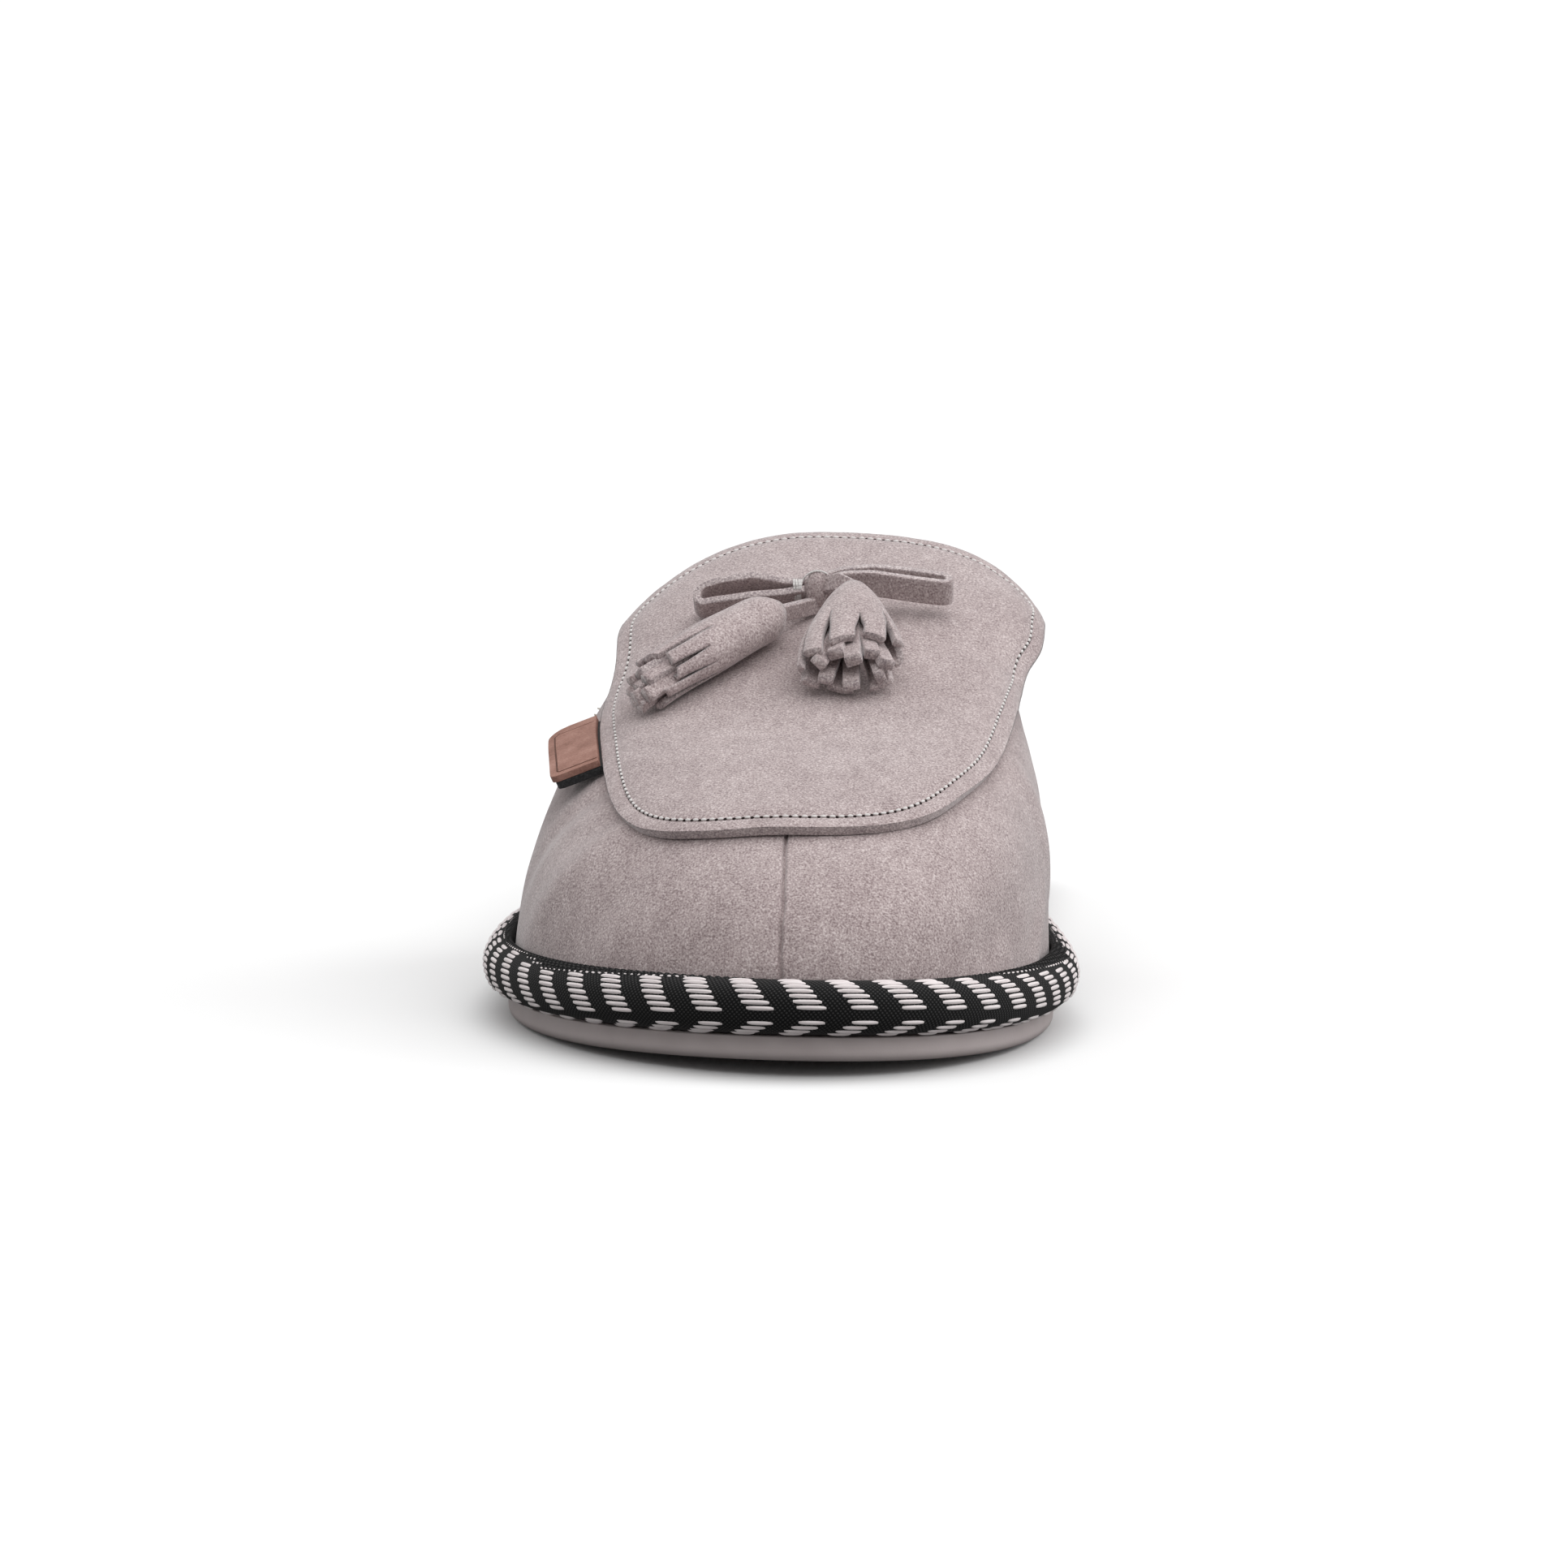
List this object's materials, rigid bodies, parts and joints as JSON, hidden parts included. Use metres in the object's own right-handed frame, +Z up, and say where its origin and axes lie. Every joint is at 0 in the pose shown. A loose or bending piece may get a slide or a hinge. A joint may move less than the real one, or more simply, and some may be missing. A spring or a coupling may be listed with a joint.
{
  "type": "mule slipper",
  "caption": "Backless suede slipper with an apron-stitched vamp, a tasselled bow on its tongue, a side tab and a woven braid roll round a flat rubber sole.",
  "frame": {"origin": "on the floor, below the middle of the slipper's bounding box", "axes": "+Z up, toe towards -Y, heel towards +Y, medial side of this right slipper towards +X"},
  "size_m": [0.1068, 0.2626, 0.0806],
  "materials": {
    "suede": "brushed nap",
    "rubber": "smooth, satin",
    "braid": "woven, matt",
    "fleece": "short wool pile",
    "tab_leather": "smooth, satin",
    "tab_felt": "matt felt"
  },
  "bodies": {
    "root": {"outsole": "rubber", "insole": "fleece", "upper": "suede", "braid_roll": "braid", "plug_tongue": "suede", "tab_leather": "tab_leather", "tab_backing": "tab_felt", "bow": "suede", "tassel_left": "suede", "tassel_right": "suede"}
  },
  "joints": []
}
